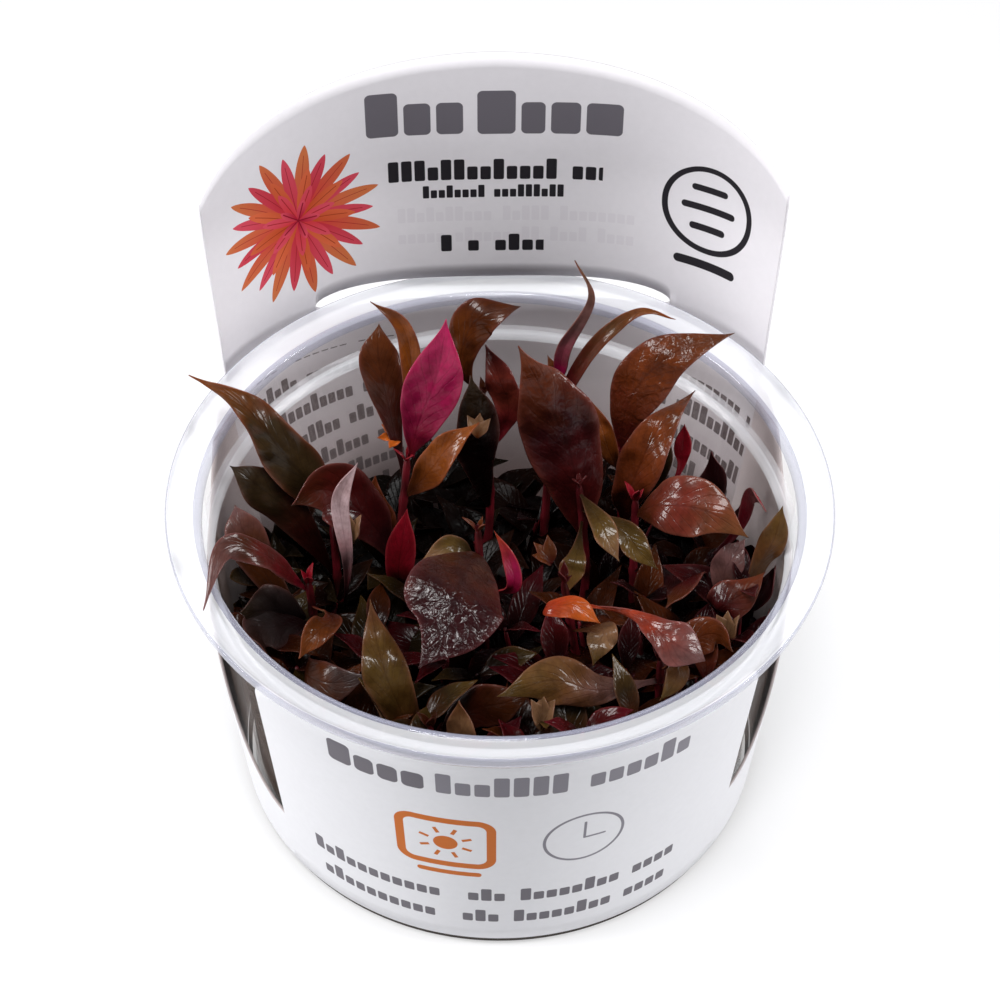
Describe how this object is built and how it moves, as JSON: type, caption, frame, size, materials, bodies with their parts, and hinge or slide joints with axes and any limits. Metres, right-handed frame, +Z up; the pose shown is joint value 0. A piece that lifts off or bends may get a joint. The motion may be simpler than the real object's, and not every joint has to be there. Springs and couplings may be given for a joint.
{
  "type": "potted aquarium plant in a clear cup",
  "caption": "Red-leaved aquarium plant growing on dark nutrient gel in a clear plastic culture cup, with a plain printed card sleeve that rises behind it.",
  "frame": {"origin": "centre of the cup's base, on the face it stands on", "axes": "+Z up out of the cup's mouth, +Y towards the tall card header at the back, -Y towards the front panel"},
  "size_m": [0.0908, 0.0908, 0.0926],
  "materials": {
    "clear_plastic": "clear thin-walled plastic, glossy, slightly hazy",
    "card": "smooth white printed card, satin",
    "gel": "dark set nutrient gel, wet",
    "stem": "smooth succulent stem, satin",
    "leaf_magenta": "bright magenta leaf, moist gloss",
    "leaf_crimson": "deep red leaf, moist gloss",
    "leaf_maroon": "maroon leaf, moist gloss",
    "leaf_wine": "very dark wine-red leaf, moist gloss",
    "leaf_umber": "dark brown leaf, moist gloss",
    "leaf_rust": "reddish brown leaf, moist gloss",
    "leaf_amber": "brown-orange leaf with an olive cast, moist gloss",
    "leaf_olive": "olive brown leaf, moist gloss",
    "leaf_bronze": "bronze leaf, pinkish sheen, moist gloss",
    "leaf_mauve": "pale mauve underside, moist gloss",
    "leaf_orange": "bright orange young leaf, moist gloss"
  },
  "bodies": {
    "root": {"cup": "clear_plastic", "label_card": "card", "nutrient_gel": "gel", "stem_magenta": "stem", "stem_back": "stem", "stem_centre": "stem", "stem_ribbon": "stem", "stem_right_back": "stem", "stem_right": "stem", "stem_wall_right": "stem", "stem_front_right": "stem", "stem_front": "stem", "stem_left_back": "stem", "stem_left": "stem", "stem_front_low": "stem", "stem_right_low": "stem", "leaf_rim_arch_left": "leaf_umber", "leaf_rim_hook_left": "leaf_mauve", "leaf_olive_left": "leaf_olive", "leaf_pink_wall_left": "leaf_mauve", "leaf_grey_sliver": "leaf_mauve", "leaf_maroon_bowl": "leaf_maroon", "leaf_magenta_tall": "leaf_magenta", "leaf_brown_thin": "leaf_rust", "leaf_brown_curl": "leaf_umber", "leaf_brown_nod": "leaf_umber", "leaf_centre_big": "leaf_maroon", "leaf_centre_red": "leaf_maroon", "leaf_centre_dark": "leaf_wine", "leaf_amber_low": "leaf_amber", "leaf_ribbon_back": "leaf_magenta", "leaf_curl_back": "leaf_rust", "leaf_right_big": "leaf_rust", "leaf_amber_right": "leaf_rust", "leaf_right_flat": "leaf_bronze", "leaf_red_spark": "leaf_crimson", "leaf_wall_right": "leaf_bronze", "leaf_mauve_right": "leaf_mauve", "leaf_rust_right": "leaf_rust", "leaf_arc_right": "leaf_crimson", "leaf_broad_front": "leaf_wine", "leaf_olive_front": "leaf_olive", "leaf_tan_front": "leaf_bronze", "leaf_olive_low_right": "leaf_bronze", "leaf_flame_right": "leaf_crimson", "leaf_curl_right": "leaf_rust", "leaf_orange_mid": "leaf_orange", "leaf_olive_drop": "leaf_olive", "leaf_red_bud": "leaf_magenta", "leaf_olive_star_a": "leaf_olive", "leaf_olive_star_b": "leaf_olive", "leaf_olive_star_c": "leaf_olive", "leaf_olive_side": "leaf_olive", "leaf_amber_left": "leaf_amber", "leaf_mauve_floor": "leaf_mauve", "leaf_grey_left": "leaf_wine", "leaf_red_low": "leaf_crimson", "young_shoots_left": "leaf_umber", "young_shoots_front": "leaf_maroon", "young_shoots_right": "leaf_wine"}
  },
  "joints": []
}
